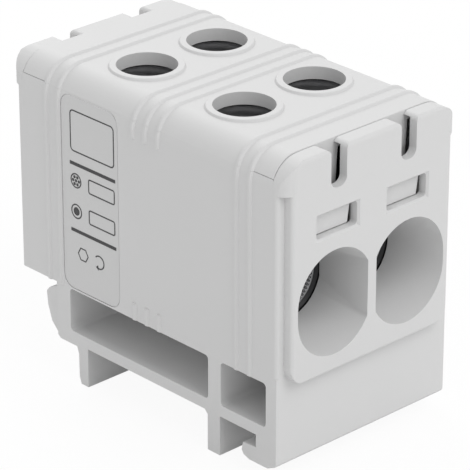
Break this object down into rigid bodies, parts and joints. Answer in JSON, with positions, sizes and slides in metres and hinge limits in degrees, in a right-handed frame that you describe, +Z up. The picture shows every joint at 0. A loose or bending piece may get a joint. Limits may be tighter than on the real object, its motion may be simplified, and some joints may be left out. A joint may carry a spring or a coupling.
{
  "type": "power distribution block",
  "caption": "Rail-mounted through terminal: moulded housing with wire funnels, snap-in cover, metal body and screws clamping wires.",
  "frame": {"origin": "on the plane under the feet, below the middle of the housing", "axes": "+Z up, X along the mounting rail, Y along the wires, with the rail hook and the front wire entries at -Y"},
  "size_m": [0.0274, 0.0456, 0.0393],
  "materials": {
    "housing": "fine matt moulded surface",
    "cover": "fine matt moulded surface",
    "terminal": "tin plated",
    "screw": "dark plated steel"
  },
  "bodies": {
    "block": {"base_housing": "housing", "top_cover": "cover", "terminal_body": "terminal"},
    "screw_fl": {"clamp_screw_fl": "screw"},
    "screw_fr": {"clamp_screw_fr": "screw"},
    "screw_rl": {"clamp_screw_rl": "screw"},
    "screw_rr": {"clamp_screw_rr": "screw"}
  },
  "joints": [
    {"name": "screw_fl_travel", "type": "slide", "parent": "block", "child": "screw_fl", "axis": [0, 0, 1], "range_m": [-0.007, 0.0025]},
    {"name": "screw_fr_travel", "type": "slide", "parent": "block", "child": "screw_fr", "axis": [0, 0, 1], "range_m": [-0.007, 0.0025]},
    {"name": "screw_rl_travel", "type": "slide", "parent": "block", "child": "screw_rl", "axis": [0, 0, 1], "range_m": [-0.007, 0.0025]},
    {"name": "screw_rr_travel", "type": "slide", "parent": "block", "child": "screw_rr", "axis": [0, 0, 1], "range_m": [-0.007, 0.0025]}
  ]
}
